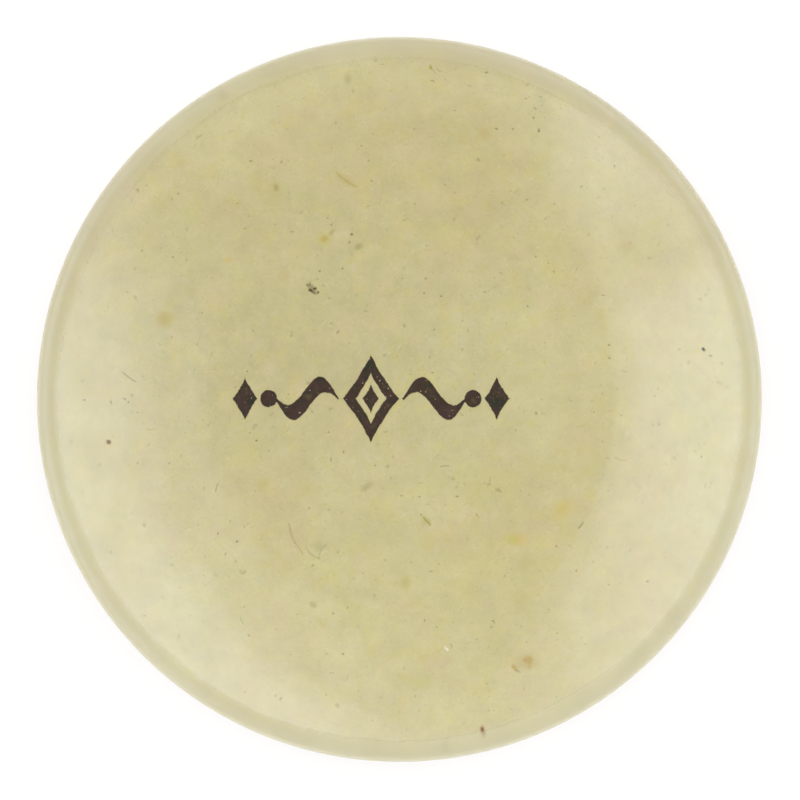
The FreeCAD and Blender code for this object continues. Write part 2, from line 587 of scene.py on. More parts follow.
def clearGlass(name, sizes, edge=False):
    # Clear glass: a bright face, or the satin of the ground edge. Lamps reach the paper
    # through it, and so does the light that the paper sends back.
    material, tree = newMaterial(name)
    where = objectPlace(tree)
    place = splitXyz(tree, where)
    radius = vec(tree, "LENGTH", joinXyz(tree, place[0], place[1]))
    edgeStart = rimPlace(0.0, rimTilt)[0]
    before, after = sizes["edgeBand"]
    onEdge = ramp(tree, radius, edgeStart - before, edgeStart + after)
    smear = patches(tree, where, *sizes["smears"], seed=3.0)
    size, amount = sizes["wheelMarks"]
    wheelMarks = timesPlus(tree, grain(tree, where, size, seed=6.0), amount, 1.0 - amount / 2)
    satin = times(tree, times(tree, onEdge, sizes["edgeRoughness"]), wheelMarks)
    size, strength, depth = sizes["ripple"]
    normal = relief(tree, strength, depth, grain(tree, where, size, 2.0, 0.5, seed=8.0))
    glass = put(
        tree,
        "ShaderNodeBsdfPrincipled",
        {
            "Base Color": (*sizes["colour"], 1.0),
            "Roughness": calc(tree, "ADD", satin, smear),
            "IOR": 1.5,
            "Transmission Weight": 1.0,
            "Coat Weight": 1.0,
            "Coat IOR": sizes["shine"],
            "Coat Roughness": sizes["edgeHaze"] if edge else sizes["haze"],
            "Normal": normal,
            "Coat Normal": normal,
        },
    ).outputs[0]
    path = put(tree, "ShaderNodeLightPath").outputs
    clear = put(tree, "ShaderNodeBsdfTransparent", {"Color": (*sizes["passColour"], 1.0)}).outputs[0]
    lampsPass = put(tree, "ShaderNodeMixShader", {0: path["Is Shadow Ray"], 1: glass, 2: clear})
    lightPasses = put(
        tree, "ShaderNodeMixShader", {0: path["Is Diffuse Ray"], 1: lampsPass.outputs[0], 2: clear}
    )
    put(tree, "ShaderNodeOutputMaterial", {"Surface": lightPasses.outputs[0]})
    return material


printSheet = {
    "depth": dishForm["glassThickness"] - 0.02 * mm,  # it is wetted to the glass, with no air between
    "thickness": 0.27 * mm,  # the page and the glue that holds it
    "trim": 0.45 * mm,
    "trimWander": 0.12 * mm,
    "faceShare": 0.47,
    "rows": 130,
    "columns": 256,
    "seed": 2.0,
    "tints": {
        "paper": (202, 190, 143),
        "pale": (207, 198, 152),
        "dusk": (184, 175, 134),
        "ash": (199, 192, 160),
        "olive": (199, 191, 134),
        "pink": (206, 189, 148),
        "tan": (194, 178, 124),
        "straw": (206, 192, 122),
        "mustard": (172, 156, 62),
        "orange": (212, 180, 110),
        "ochre": (186, 160, 90),
        "amber": (206, 164, 86),
        "honey": (204, 180, 104),
        "citron": (194, 185, 106),
        "bark": (84, 74, 42),
        "pitch": (40, 32, 6),
        "chalk": (200, 199, 175),
        "sallow": (178, 170, 137),
        "burnt": (92, 50, 12),
        "dun": (146, 132, 100),
        "rust": (178, 128, 66),
        "moss": (152, 146, 92),
        "umber": (108, 94, 58),
        "soot": (78, 72, 62),
        "grey": (150, 145, 116),
        "white": (236, 231, 205),
    },
    "ink": {
        "brown": (60, 47, 40),
        "plum": (66, 49, 46),
        "bottle": (44, 46, 38),
        "worn": (88, 79, 56),
        "centre": (-4.1, 0.2),  # mm
        "bleed": 0.07,  # half of the soft edge, mm
        "ragged": 0.26,  # how far its outline strays, fine and slow; the next two are their sizes
        "fineSize": 0.42,
        "slowSize": 1.9,
        "oil": (-0.1, 1.1, 0.5),  # round the print: from and to, in mm, and how much
        "oilTint": (0.975, 0.985, 0.91),
        "plumPatches": (2.6, 2.0, 0.55, 0.42, 0.6),
        "bottlePatches": (3.4, 2.0, 0.55, 0.56, 0.68, 0.0, 0.9),
        "rubbed": (1.3, 4.0, 0.65, 0.5, 0.72, 0.0, 0.8),
        "squeezed": (-0.75, -0.2, 1.0, 0.15),  # less is rubbed off from here to there
        "nicks": (0.38, 1.0, 0.55, 0.70, 0.78, 0.0, 0.75),
        "mottle": (0.35, 0.5),  # size in mm and how much
        "cover": 0.985,
    },
    "slowPatches": (20.0, 2.0, 0.55, 0.36, 0.64),
    "tearSizes": (0.9, 0.3),  # mm: what makes the edges of large and of small marks ragged
    "tooth": 0.3,  # mm
    "relief": (0.12, 0.05 * mm),  # strength and depth
    "dullness": (0.84, 0.1, -0.15),  # roughness: the least, by the tooth, and under ink
    # painted reflection: the page is painted paler and greyer towards its edge, for the veil that the
    # glass's rim mirrors over it: from and to, in mm, how much, and its tints low and high
    "rimFade": (46.6, 49.2, 0.45, "chalk", "sallow"),
    "rimTintRun": (-30.0, 36.0),  # up the page, in mm, from the low tint to the high one
    # the softness and the raggedness that most marks of a kind have
    "usualEdges": {"tones": (0.9, 0.3), "stains": (0.8, 0.8), "specks": (0.6, 0.7)},
    # broad tones of the old page
    "tones": (
        (9.0, 29.0, 14.0, 10.0, 60, "tan", 0.26, 0.8, 0.5),
        (16.5, 18.5, 4.5, 4.0, 0, "pale", 0.5),
        (1.0, 0.5, 16.0, 7.5, 0, "dusk", 0.25),
        (-29.5, 13.2, 3.0, 2.6, 0, "dusk", 0.45, 0.9, 0.4),
        (19.5, -34.5, 3.5, 4.5, -30, "tan", 0.35, 0.8, 0.4),
        (8.5, -43.0, 7.0, 6.0, 0, "pale", 0.7),
        (8.0, -25.0, 15.0, 11.0, 20, "olive", 0.35, 0.8, 0.5),
        (-14.0, 12.5, 26.0, 15.0, 30, "dusk", 0.5, 0.9, 0.4),
        (-2.0, 3.0, 24.0, 20.0, 0, "dusk", 0.22),
        (-4.0, 25.0, 17.0, 13.0, 10, "tan", 0.22),
        (4.0, -37.0, 15.0, 10.0, 0, "pale", 0.7),
        # this one is darker and tanner at the upper right, over the gap in the mirrored lamp
        (35.0, 21.0, 9.0, 6.0, 30, "tan", 0.35, 0.8, 0.4),
    ),
    # cloudiness, coarse to fine: size in mm, where it starts and is full, strength, tint
    "clouds": (
        (6.5, 0.45, 0.70, 0.42, "olive"),
        (5.0, 0.47, 0.72, 0.48, "pink"),
        (3.2, 0.50, 0.72, 0.32, "straw"),
        (2.2, 0.50, 0.70, 0.24, "ash"),
        (1.4, 0.52, 0.72, 0.20, "pink"),
        (1.1, 0.54, 0.72, 0.18, "olive"),
        (0.8, 0.62, 0.76, 0.13, "mustard"),
        (0.5, 0.66, 0.76, 0.20, "umber"),
        (0.45, 0.62, 0.76, 0.20, "white"),
        (1.8, 0.68, 0.78, 0.30, "umber"),
        (0.9, 0.69, 0.77, 0.55, "umber"),
        (0.42, 0.70, 0.78, 0.45, "umber"),
    ),
    # unevenness of its lightness: size in mm and how much
    "shades": ((4.5, 0.11), (3.0, 0.14), (1.2, 0.09), (0.6, 0.05), (0.25, 0.04)),
    # short fibres: width in mm, the way they lie, where they start and are full, strength, tint
    "fibres": (
        (0.16, 0.4, 0.64, 0.76, 0.18, "umber"),
        (0.16, 1.5, 0.64, 0.76, 0.20, "moss"),
        (0.16, 2.5, 0.64, 0.76, 0.18, "umber"),
        (0.18, 0.9, 0.64, 0.78, 0.22, "white"),
        (0.15, 2.0, 0.64, 0.78, 0.22, "white"),
    ),
    "stains": (
        (17.7, -36.7, 1.5, 1.0, 10, "tan", 0.85, 0.8, 0.9),
        (18.0, -36.5, 0.55, 0.5, 20, "ochre", 0.85, 0.7, 1.0),
        (18.2, -37.1, 0.6, 0.26, 80, "ochre", 0.55, 0.7, 1.0),
        (17.45, -36.5, 0.16, 0.14, 0, "rust", 0.5, 0.6, 0.8),
        (16.0, -37.5, 0.42, 0.28, -40, "ochre", 0.8, 0.6, 1.0),
        (16.4, -37.95, 0.42, 0.16, -20, "moss", 0.61, 0.7, 0.9),
        (22.9, -15.6, 1.5, 1.3, 30, "straw", 0.6, 0.9, 0.9),
        (22.9, -15.4, 1.0, 0.9, 30, "honey", 0.38, 0.9, 1.0),
        (23.8, -16.3, 0.7, 0.6, 0, "pink", 0.6),
        (15.9, -19.6, 0.95, 0.65, 0, "citron", 0.75, 0.8, 0.9),
        (17.2, -19.7, 0.95, 0.75, 0, "orange", 0.42, 0.8, 0.9),
        (-10.6, 22.6, 1.05, 0.9, 30, "citron", 0.6, 0.8, 0.9),
        (-10.6, 22.6, 0.55, 0.45, 20, "ochre", 0.65, 0.7, 1.0),
        (-9.6, 23.6, 0.5, 0.24, 50, "moss", 0.47, 0.7, 0.8),
        (-33.1, 11.2, 1.1, 0.9, 20, "tan", 0.85),
        (-17.4, 29.8, 0.7, 0.9, 0, "tan", 0.68),
        (-17.4, 29.8, 0.35, 0.5, 0, "moss", 0.54, 0.7, 0.8),
        (-18.9, 29.3, 1.2, 0.9, 0, "straw", 0.22, 0.9, 0.8),
        (11.9, 37.4, 0.8, 0.7, 0, "tan", 0.85),
        (-7.3, 44.9, 0.5, 0.7, 0, "moss", 0.38),
        (4.3, 46.5, 0.3, 0.18, 110, "mustard", 0.85, 0.6, 0.8),
        (-4.7, -12.2, 0.8, 0.4, 35, "moss", 0.42, 0.8, 1.0),
        (-19.3, -11.8, 0.9, 0.6, 35, "mustard", 0.27),
        (0.8, -25.7, 0.6, 0.9, 0, "mustard", 0.32),
        (2.9, -39.7, 1.6, 0.9, 20, "olive", 0.81, 0.8, 0.9),
        (31.7, 21.5, 1.0, 0.8, 0, "tan", 0.74),
        (-24.0, 19.7, 0.5, 0.4, 0, "orange", 0.4, 0.7, 0.8),
        (-33.5, 27.3, 0.8, 0.6, 0, "tan", 0.41),
        (-14.2, 21.0, 1.6, 1.0, 20, "straw", 0.24, 0.9, 0.8),
        (-16.3, 17.6, 0.7, 0.9, 0, "tan", 0.47),
        (-11.0, -31.3, 0.9, 0.5, -50, "mustard", 0.22),
        (-29.3, 17.9, 0.5, 0.6, 0, "tan", 0.47),
        (27.5, -9.0, 1.2, 0.8, 60, "olive", 0.54, 0.9, 0.8),
        (32.5, 3.0, 3.0, 1.6, 80, "pink", 0.25, 0.9, 0.8),
        (-6.0, 33.0, 2.2, 1.0, 70, "pink", 0.25, 0.9, 0.8),
        (17.2, 5.1, 0.5, 0.4, 0, "straw", 0.35, 0.7, 0.8),
        (6.3, -47.6, 0.3, 0.3, 0, "grey", 0.45, 0.7, 0.8),
        (-33.2, 11.4, 0.8, 1.0, 10, "mustard", 0.2),
        (-7.6, 30.9, 1.3, 0.6, -35, "ochre", 0.35, 0.8, 0.9),
        (-5.8, 21.6, 0.5, 0.4, 40, "moss", 0.55, 0.7, 0.9),
        (-30.7, 33.3, 0.8, 0.6, 60, "tan", 0.5, 0.8, 0.9),
        (-29.3, 15.4, 0.6, 0.5, 0, "tan", 0.55, 0.8, 0.9),
        (-12.2, -28.8, 0.5, 0.4, -40, "moss", 0.45, 0.7, 0.9),
        (-11.4, -20.6, 0.7, 0.6, 0, "moss", 0.28, 0.8, 0.9),
        (3.7, -17.1, 0.6, 0.5, 0, "moss", 0.3, 0.8, 0.9),
    ),
    "specks": (
        (-11.3, 18.1, 0.15, 0.12, 0, "umber", 0.6),
        (-8.1, 18.5, 0.14, 0.12, 0, "umber", 0.7),
        (-6.8, 23.3, 0.18, 0.14, 0, "umber", 0.85),
        (-21.5, 4.0, 0.13, 0.11, 0, "umber", 0.65),
        (19.45, 37.75, 0.25, 0.14, 90, "umber", 0.75),
        (42.5, 7.1, 0.3, 0.21, -50, "pitch", 1.0, 0.6, 0.9),
        (43.5, 6.2, 0.24, 0.12, -20, "bark", 0.55, 0.6, 0.9),
        (12.1, 45.8, 0.28, 0.12, 10, "umber", 0.6, 0.6, 0.9),
        (3.4, 15.0, 0.15, 0.12, 0, "umber", 0.55),
        (5.8, 14.6, 0.16, 0.12, 0, "umber", 0.6),
        (-22.9, -19.9, 0.17, 0.13, 0, "umber", 0.75),
        (-9.4, -30.0, 0.15, 0.14, 0, "umber", 0.6),
        (-20.2, -5.7, 0.15, 0.13, 0, "umber", 0.75),
        (34.7, -25.4, 0.16, 0.12, 0, "umber", 0.65),
        (-31.1, 28.9, 0.15, 0.13, 0, "umber", 0.5),
        (-36.7, 29.4, 0.17, 0.14, 0, "umber", 0.5),
        (-10.0, 14.3, 0.15, 0.13, 0, "moss", 0.6),
        (-4.0, 30.8, 0.15, 0.13, 0, "umber", 0.5),
        (-5.4, 35.7, 0.17, 0.14, 0, "moss", 0.6),
        (-40.75, -6.0, 0.5, 0.42, 0, "amber", 0.45, 0.8, 0.6),
        (-40.85, -5.9, 0.32, 0.29, 0, "burnt", 0.92, 0.5, 0.8),
        (11.5, -46.02, 0.42, 0.3, 97, "rust", 0.75),
        (11.5, -46.05, 0.32, 0.2, 97, "burnt", 0.75),
        (-12.35, 15.65, 0.85, 0.42, -45, "dun", 0.8, 0.5, 0.9),
        (-13.0, 16.14, 0.22, 0.18, 0, "bark", 0.45, 0.6, 0.8),
        (-12.66, 16.38, 0.3, 0.14, 100, "bark", 0.4, 0.6, 0.8),
        (-12.57, 15.42, 0.34, 0.2, -30, "bark", 0.9, 0.5, 0.8),
        (-11.95, 15.7, 0.28, 0.17, 10, "bark", 0.92, 0.5, 0.8),
        (-12.13, 15.07, 0.4, 0.15, -25, "bark", 0.6, 0.6, 0.8),
        (-11.52, 15.14, 0.16, 0.17, 0, "bark", 0.75, 0.6, 0.6),
        # painted highlight: these two paint the glint of a small air bubble in the glue, white on the
        # page
        (6.55, -34.95, 0.3, 0.15, -45, "white", 0.95, 0.7, 0.9),
        (6.3, -34.6, 0.18, 0.08, 80, "white", 0.6, 0.7, 0.9),
    ),
    "hairs": (
        ((-8.9, 31.9), (-6.2, 30.0), 0.15, 0.26, "mustard", 0.42),
        ((3.3, -16.5), (4.2, -17.5), 0.0, 0.24, "mustard", 0.85),
        ((5.7, -9.4), (6.9, -9.3), -0.1, 0.15, "umber", 0.42),
        ((30.3, -8.1), (31.8, -8.5), 0.1, 0.24, "mustard", 0.36),
        ((25.1, -18.0), (25.7, -17.2), 0.05, 0.2, "umber", 0.5),
        ((-35.6, -4.1), (-34.4, -4.0), 0.1, 0.2, "mustard", 0.4),
        ((-15.6, -17.4), (-14.8, -20.1), 0.12, 0.2, "moss", 0.45),
        ((-14.8, -20.1), (-13.7, -21.8), -0.15, 0.16, "moss", 0.4),
        ((-13.2, -20.7), (-11.4, -22.3), 0.28, 0.18, "moss", 0.42),
        ((-11.4, -22.3), (-10.3, -20.4), -0.35, 0.2, "moss", 0.35),
        ((-25.6, -11.8), (-25.9, -12.9), 0.08, 0.15, "soot", 0.42),
        ((-24.8, 41.6), (-24.0, 42.0), 0.05, 0.16, "umber", 0.4),
        ((-38.9, 3.9), (-37.2, 2.6), 0.06, 0.14, "umber", 0.55),
        ((-22.4, -30.6), (-22.0, -31.4), 0.05, 0.16, "moss", 0.45),
        # painted highlight: the grey edge of that bubble's glint
        ((6.9, -34.3), (7.15, -34.9), -0.25, 0.1, "grey", 0.7),
        ((4.4, 46.4), (4.9, 45.8), 0.0, 0.15, "moss", 0.45),
    ),
}


# The printed ornament, in mm from its middle. Lozenges are half width and half height.
ornament = {
    "lozenge": (4.0, 6.2),
    "opening": (2.2, 3.6),
    "core": (1.15, 2.0),
    "strokeStart": 4.6,
    "strokeRun": 8.8,
    "strokeSwing": 1.9,
    "strokeHalf": (0.16, 1.0),  # half its width at the tips, and what is added in the middle
    "strokeSlope": 0.75,  # the stroke leans, so its width is less than its height
    "bead": (14.4, 1.2),  # where and how big
    "endLozenge": (1.8, 3.0),
    "endPlace": 17.7,
    "hollow": 0.9,  # below 1 the sides of the lozenges curve in
}


def lozengeGap(tree, x, y, halfWide, halfHigh):
    # signed distance, about true near the line, to a lozenge with hollowed sides
    power = ornament["hollow"]
    across = calc(tree, "POWER", calc(tree, "DIVIDE", x, halfWide), power)
    upward = calc(tree, "POWER", calc(tree, "DIVIDE", y, halfHigh), power)
    reach = calc(tree, "POWER", calc(tree, "ADD", across, upward), 1 / power)
    return times(tree, minus(tree, reach, 1.0), 0.8 * min(halfWide, halfHigh))


def circleGap(tree, x, y, centre, radius):
    away = vec(tree, "LENGTH", joinXyz(tree, minus(tree, x, centre), y))
    return minus(tree, away, radius)


def ornamentGap(tree, where, centre):
    # A printer's dash, the same on both sides: an open lozenge, waved strokes that swell and
    # thin, beads, and small lozenges at the ends. Gives the distance to its outline, in mm.
    place = splitXyz(tree, vec(tree, "SUBTRACT", where, (*centre, 0.0)))
    side = calc(tree, "ABSOLUTE", place[0])
    up = calc(tree, "ABSOLUTE", place[1])
    outer = lozengeGap(tree, side, up, *ornament["lozenge"])
    cut = times(tree, lozengeGap(tree, side, up, *ornament["opening"]), -1.0)
    gap = calc(tree, "MAXIMUM", outer, cut)
    gap = calc(tree, "MINIMUM", gap, lozengeGap(tree, side, up, *ornament["core"]))
    pastStart = minus(tree, side, ornament["strokeStart"])
    along = calc(tree, "DIVIDE", pastStart, ornament["strokeRun"])
    inRun = calc(tree, "ADD", along, 0.0, clamp=True)
    swell = calc(tree, "SINE", times(tree, inRun, math.pi))
    tip, belly = ornament["strokeHalf"]
    half = timesPlus(tree, calc(tree, "POWER", swell, 1.2), belly, tip)
    swing = calc(tree, "SINE", times(tree, inRun, 2 * math.pi))
    middle = times(tree, swing, ornament["strokeSwing"])
    off = calc(tree, "ABSOLUTE", minus(tree, place[1], middle))
    wave = minus(tree, times(tree, off, ornament["strokeSlope"]), half)
    pastEnd = calc(tree, "ABSOLUTE", minus(tree, along, inRun))
    wave = timesPlus(tree, pastEnd, ornament["strokeRun"], wave)
    gap = calc(tree, "MINIMUM", gap, wave)
    gap = calc(tree, "MINIMUM", gap, circleGap(tree, side, place[1], *ornament["bead"]))
    fromEnd = calc(tree, "ABSOLUTE", minus(tree, side, ornament["endPlace"]))
    return calc(tree, "MINIMUM", gap, lozengeGap(tree, fromEnd, up, *ornament["endLozenge"]))


def addInk(tree, colour, where, flat, ink):
    # dark letterpress ink: ragged by the paper's grain, squeezed dark at its edges, worn inside
    gap = ornamentGap(tree, flat, ink["centre"])
    fine = unevenness(tree, where, ink["fineSize"], 3.0, 0.6, seed=21.0)
    slow = unevenness(tree, where, ink["slowSize"], 1.0, seed=22.0)
    gap = timesPlus(tree, fine, ink["ragged"], gap)
    gap = timesPlus(tree, slow, ink["ragged"] * 1.1, gap)
    start, end, share = ink["oil"]
    oil = times(tree, ramp(tree, gap, start, end, 1.0, 0.0), share)
    colour = blend(tree, oil, colour, ink["oilTint"], mode="MULTIPLY")
    plummer = patches(tree, where, *ink["plumPatches"], seed=23.0)
    tone = blend(tree, plummer, srgb(*ink["brown"]), srgb(*ink["plum"]))
    greener = patches(tree, where, *ink["bottlePatches"], seed=24.0)
    tone = blend(tree, greener, tone, srgb(*ink["bottle"]))
    inside = ramp(tree, gap, *ink["squeezed"])
    rubbed = patches(tree, where, *ink["rubbed"], seed=25.0)
    tone = blend(tree, times(tree, rubbed, inside), tone, srgb(*ink["worn"]))
    size, amount = ink["mottle"]
    tone = shade(tree, tone, grain(tree, where, size, 2.0, seed=26.0), amount)
    nicks = patches(tree, where, *ink["nicks"], seed=27.0)
    laid = ramp(tree, gap, -ink["bleed"], ink["bleed"], 1.0, 0.0)
    laid = times(tree, laid, minus(tree, 1.0, nicks))
    laid = times(tree, laid, ink["cover"])
    return blend(tree, laid, colour, tone), laid


drawn = {
    "everywhere": 0.994,  # how far out a mark seems to lie, as a share
    "pastFloor": 0.0218,  # and how much less for each mm past the floor, as a share of a mm
}


def seenFromAbove(tree, flat):
    # The marks are placed, in mm, where they seem to lie from above. The sloping glass and the
    # depth of the dish draw them inwards, so on the page each is a little further out.
    radius = calc(tree, "MAXIMUM", vec(tree, "LENGTH", flat), 1.0)
    pastFloor = minus(tree, radius, dishForm["floorRadius"] / mm)
    pastFloor = calc(tree, "MAXIMUM", pastFloor, 0.0)
    drawnIn = calc(tree, "DIVIDE", times(tree, pastFloor, drawn["pastFloor"]), radius)
    seen = scaled(tree, flat, minus(tree, drawn["everywhere"], drawnIn))
    return vec(tree, "SUBTRACT", seen, (*offCentre, 0.0))


def agedPaper(sizes):
    # an old rag page: cloudy tones, fibres, foxing and specks, and a printed ornament, with a painted
    # reflection near its rim and a painted bubble glint
    material, tree = newMaterial("agedPrintedPaper")
    where = objectPlace(tree)
    flat = seenFromAbove(tree, vec(tree, "MULTIPLY", where, (1000.0, 1000.0, 0.0)))
    large, small = sizes["tearSizes"]
    coarse = unevenness(tree, where, large, 3.0, 0.6, seed=14.0)
    torn = unevenness(tree, where, small, 2.0, 0.6, seed=15.0)
    tints = linearTints(sizes)
    slow = patches(tree, where, *sizes["slowPatches"], seed=1.0)
    colour = blend(tree, slow, tints["paper"], tints["pale"])
    colour = addSpots(tree, colour, flat, coarse, sizes, "tones", tints)
    for count, (size, low, high, strength, tint) in enumerate(sizes["clouds"]):
        cloud = patches(tree, where, size, 2.0, 0.6, low, high, end=strength, seed=2.0 + count)
        colour = blend(tree, cloud, colour, tints[tint])
    for count, (size, amount) in enumerate(sizes["shades"]):
        colour = shade(tree, colour, grain(tree, where, size, 1.0, 0.5, seed=44.0 + count), amount)
    # painted reflection: the page turns paler and greyer near its rim, chalkier low and more sallow
    # high, standing in for the veil that the glass's edge mirrors
    start, full, strength, low, high = sizes["rimFade"]
    nearRim = ramp(tree, vec(tree, "LENGTH", flat), start, full, 0.0, strength)
    upPage = ramp(tree, splitXyz(tree, flat)[1], *sizes["rimTintRun"])
    paintedReflection = blend(tree, upPage, tints[low], tints[high])
    colour = blend(tree, nearRim, colour, paintedReflection)
    for count, (width, turn, low, high, strength, tint) in enumerate(sizes["fibres"]):
        fibres = fibreMask(tree, where, width, turn, low, high, 50.0 + count)
        colour = blend(tree, times(tree, fibres, strength), colour, tints[tint])
    colour = addSpots(tree, colour, flat, coarse, sizes, "stains", tints)
    colour = addHairs(tree, colour, flat, torn, sizes["hairs"], tints)
    colour = addSpots(tree, colour, flat, torn, sizes, "specks", tints)
    colour, laid = addInk(tree, colour, where, flat, sizes["ink"])
    tooth = grain(tree, where, sizes["tooth"], 3.0, 0.6, seed=12.0)
    normal = relief(tree, *sizes["relief"], timesPlus(tree, laid, -0.6, tooth))
    least, byTooth, underInk = sizes["dullness"]
    dull = timesPlus(tree, laid, underInk, timesPlus(tree, tooth, byTooth, least))
    finishMaterial(tree, colour, dull, normal, {"Specular IOR Level": 0.0})
    return material


backingSheet = {
    "depth": printSheet["depth"] + printSheet["thickness"] - 0.01 * mm,
    "trim": 0.45 * mm,
    "trimWander": 0.15 * mm,
    "pleatHeight": 0.1 * mm,
    "pleatSize": 0.16,
    "faceShare": 0.46,
    "rows": 160,
    "columns": 420,
    "seed": 5.0,
    "tints": {
        "buff": (188, 164, 120),
        "shade": (172, 146, 102),
        "fibre": (120, 96, 62),
        "lacquer": (198, 172, 120),
    },
    "clouds": (7.0, 4.0, 0.6, 0.36, 0.66),
    "mottle": (0.5, 0.12),  # size in mm and how much
    # width in mm, where they start and are full, how much, and the ways they lie
    "fibres": (0.2, 0.62, 0.76, 0.35, (0.2, 1.3, 2.2)),
    "brush": {"size": 0.7, "stretch": 30.0, "turn": 0.35},
    "pooled": (0.4, 0.7, 0.0, 0.35),  # where the brush left more lacquer
    "relief": (0.3, 0.06 * mm),
    "dullness": (0.3, 0.7, 0.34, 0.5),
    "coat": {"Coat Weight": 0.5, "Coat Roughness": 0.18},
}
backingSheet["thickness"] = dishForm["floorHeight"] - lacquerLow.z - backingSheet["depth"]


def buffBacking(sizes):
    # plain buff paper under brushed lacquer
    material, tree = newMaterial("lacqueredBuffPaper")
    where = objectPlace(tree)
    tints = linearTints(sizes)
    cloud = patches(tree, where, *sizes["clouds"], seed=31.0)
    colour = blend(tree, cloud, tints["buff"], tints["shade"])
    size, amount = sizes["mottle"]
    colour = shade(tree, colour, grain(tree, where, size, seed=32.0), amount)
    width, low, high, strength, turns = sizes["fibres"]
    for count, turn in enumerate(turns):
        fibres = fibreMask(tree, where, width, turn, low, high, 33.0 + count)
        colour = blend(tree, times(tree, fibres, strength), colour, tints["fibre"])
    brushed = grain(tree, where, **sizes["brush"], roughness=0.6, seed=36.0)
    pooled = ramp(tree, brushed, *sizes["pooled"])
    colour = blend(tree, pooled, colour, tints["lacquer"])
    height = timesPlus(tree, brushed, 0.7, grain(tree, where, 0.4, seed=37.0))
    normal = relief(tree, *sizes["relief"], height)
    dull = ramp(tree, brushed, *sizes["dullness"])
    finishMaterial(tree, colour, dull, normal, sizes["coat"])
    return material


# the sizes of the slow and fine unevenness of the bead, as a share of the radius
swellNoise, fineSwellNoise = 0.22, 0.05

# the bead's middle: how far in from the end of the rim's arc, and how far below the glass
beadSetback, beadDrop = 0.32 * mm, 0.3 * mm
beadAngle = rimTilt - beadSetback / sweepRadius
beadRadius, beadHeight = rimPlace(dishForm["glassThickness"] + beadDrop, beadAngle)
rimBead = {
    "Radius": beadRadius,
    "Height": beadHeight,
    "Lean": rimTilt,
    "Width": 0.3 * mm,
    "Tallness": 0.62 * mm,
    "Unevenness": 0.5,
    "Seed": 3.0,
    "Steps": 512,
    "Sides": 12,
    "tints": {"honey": (176, 150, 104), "pale": (198, 176, 130)},
    "clouds": (3.0, 3.0, 0.55, 0.35, 0.65),
    "ripple": 0.5,  # mm
    "relief": (0.25, 0.05 * mm),
    "dullness": (0.3, 0.7, 0.16, 0.32),
}


def honeyLacquer(sizes):
    material, tree = newMaterial("honeyLacquer")
    where = objectPlace(tree)
    tints = linearTints(sizes)
    cloud = patches(tree, where, *sizes["clouds"], seed=41.0)
    colour = blend(tree, cloud, tints["honey"], tints["pale"])
    ripple = grain(tree, where, sizes["ripple"], 2.0, seed=42.0)
    normal = relief(tree, *sizes["relief"], ripple)
    finishMaterial(tree, colour, ramp(tree, ripple, *sizes["dullness"]), normal)
    return material


layerTree = dishLayerTree()
glassPiece = grow(
    "glassDish",
    layerTree,
    {**plainLayer, **glassDish},
    clearGlass("polishedGlass", glassDish),
    clearGlass("groundEdgeGlass", glassDish, edge=True),
)
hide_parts("glass_dish")

printPiece = grow("printSheet", layerTree, {**plainLayer, **printSheet}, agedPaper(printSheet))
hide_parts("print_glue", "print_sheet")

backingValues = {**plainLayer, **backingSheet}
backingPiece = grow("backingSheet", layerTree, backingValues, buffBacking(backingSheet))
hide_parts("backing_glue", "backing_sheet", "lacquer_coat")

beadPiece = grow("rimBead", beadTree(), rimBead, honeyLacquer(rimBead))

stage = {
    "floorSize": 4.0,
    "floorDrop": 0.02 * mm,  # below the dish, so that the two don't meet
    "floorWhite": 0.8,  # what lights the dish from below
    "floorGlow": 0.64,  # what the camera sees is partly a glow, so the shadow stays faint
    "floorShade": (0.41, 0.42),  # and partly this grey, a little uneven
    "dust": 40.0,  # mm
    "ambient": 0.945,  # the even light on the page
    "overhead": 0.035,  # how bright the room is that the glass mirrors, straight above
    "level": 0.38,  # and all round
    "near": 1.6,  # how much brighter it is low down on the near side
    "far": 0.25,  # and on the far side
    "roomTop": (0.42, 0.86),  # from which climb to which it grows dark; 1 is straight above
    "roomTurn": (-0.7, 0.7),  # from the near side to the far side
    "roomLow": (0.25, 0.5),  # the near and far sides show below this climb
    "roomLean": -0.05,  # the dark part leans a little to the near side
    "cameraHeight": 0.9,  # above the widest level of the rim
    "dishShare": 0.906375,  # of the frame's width
    "sensor": 36.0,
}


def paleFloor():
    # plain white that still takes a soft shadow
    material, tree = newMaterial("paleFloor")
    path = put(tree, "ShaderNodeLightPath").outputs
    straight = calc(tree, "MAXIMUM", path["Is Camera Ray"], path["Is Glossy Ray"])
    seen = calc(tree, "MAXIMUM", straight, path["Is Transmission Ray"])
    dust = grain(tree, objectPlace(tree), stage["dust"])
    tone = ramp(tree, dust, 0.3, 0.7, *stage["floorShade"])
    white = (*[stage["floorWhite"]] * 3, 1.0)
    plain = put(tree, "ShaderNodeBsdfDiffuse", {"Color": white}).outputs[0]
    shaded = put(tree, "ShaderNodeBsdfDiffuse", {"Color": grey(tree, tone)}).outputs[0]
    glow = put(tree, "ShaderNodeEmission", {"Strength": stage["floorGlow"]}).outputs[0]
    shown = put(tree, "ShaderNodeAddShader", {0: shaded, 1: glow}).outputs[0]
    mixed = put(tree, "ShaderNodeMixShader", {0: seen, 1: plain, 2: shown})
    put(tree, "ShaderNodeOutputMaterial", {"Surface": mixed.outputs[0]})
    return material


def makeFloor():
    half = stage["floorSize"] / 2
    mesh = bpy.data.meshes.new("floor")
    corners = [(-half, -half), (half, -half), (half, half), (-half, half)]
    mesh.from_pydata([(x, y, -stage["floorDrop"]) for x, y in corners], [], [(0, 1, 2, 3)])
    mesh.materials.append(paleFloor())
    placed("floor", mesh)


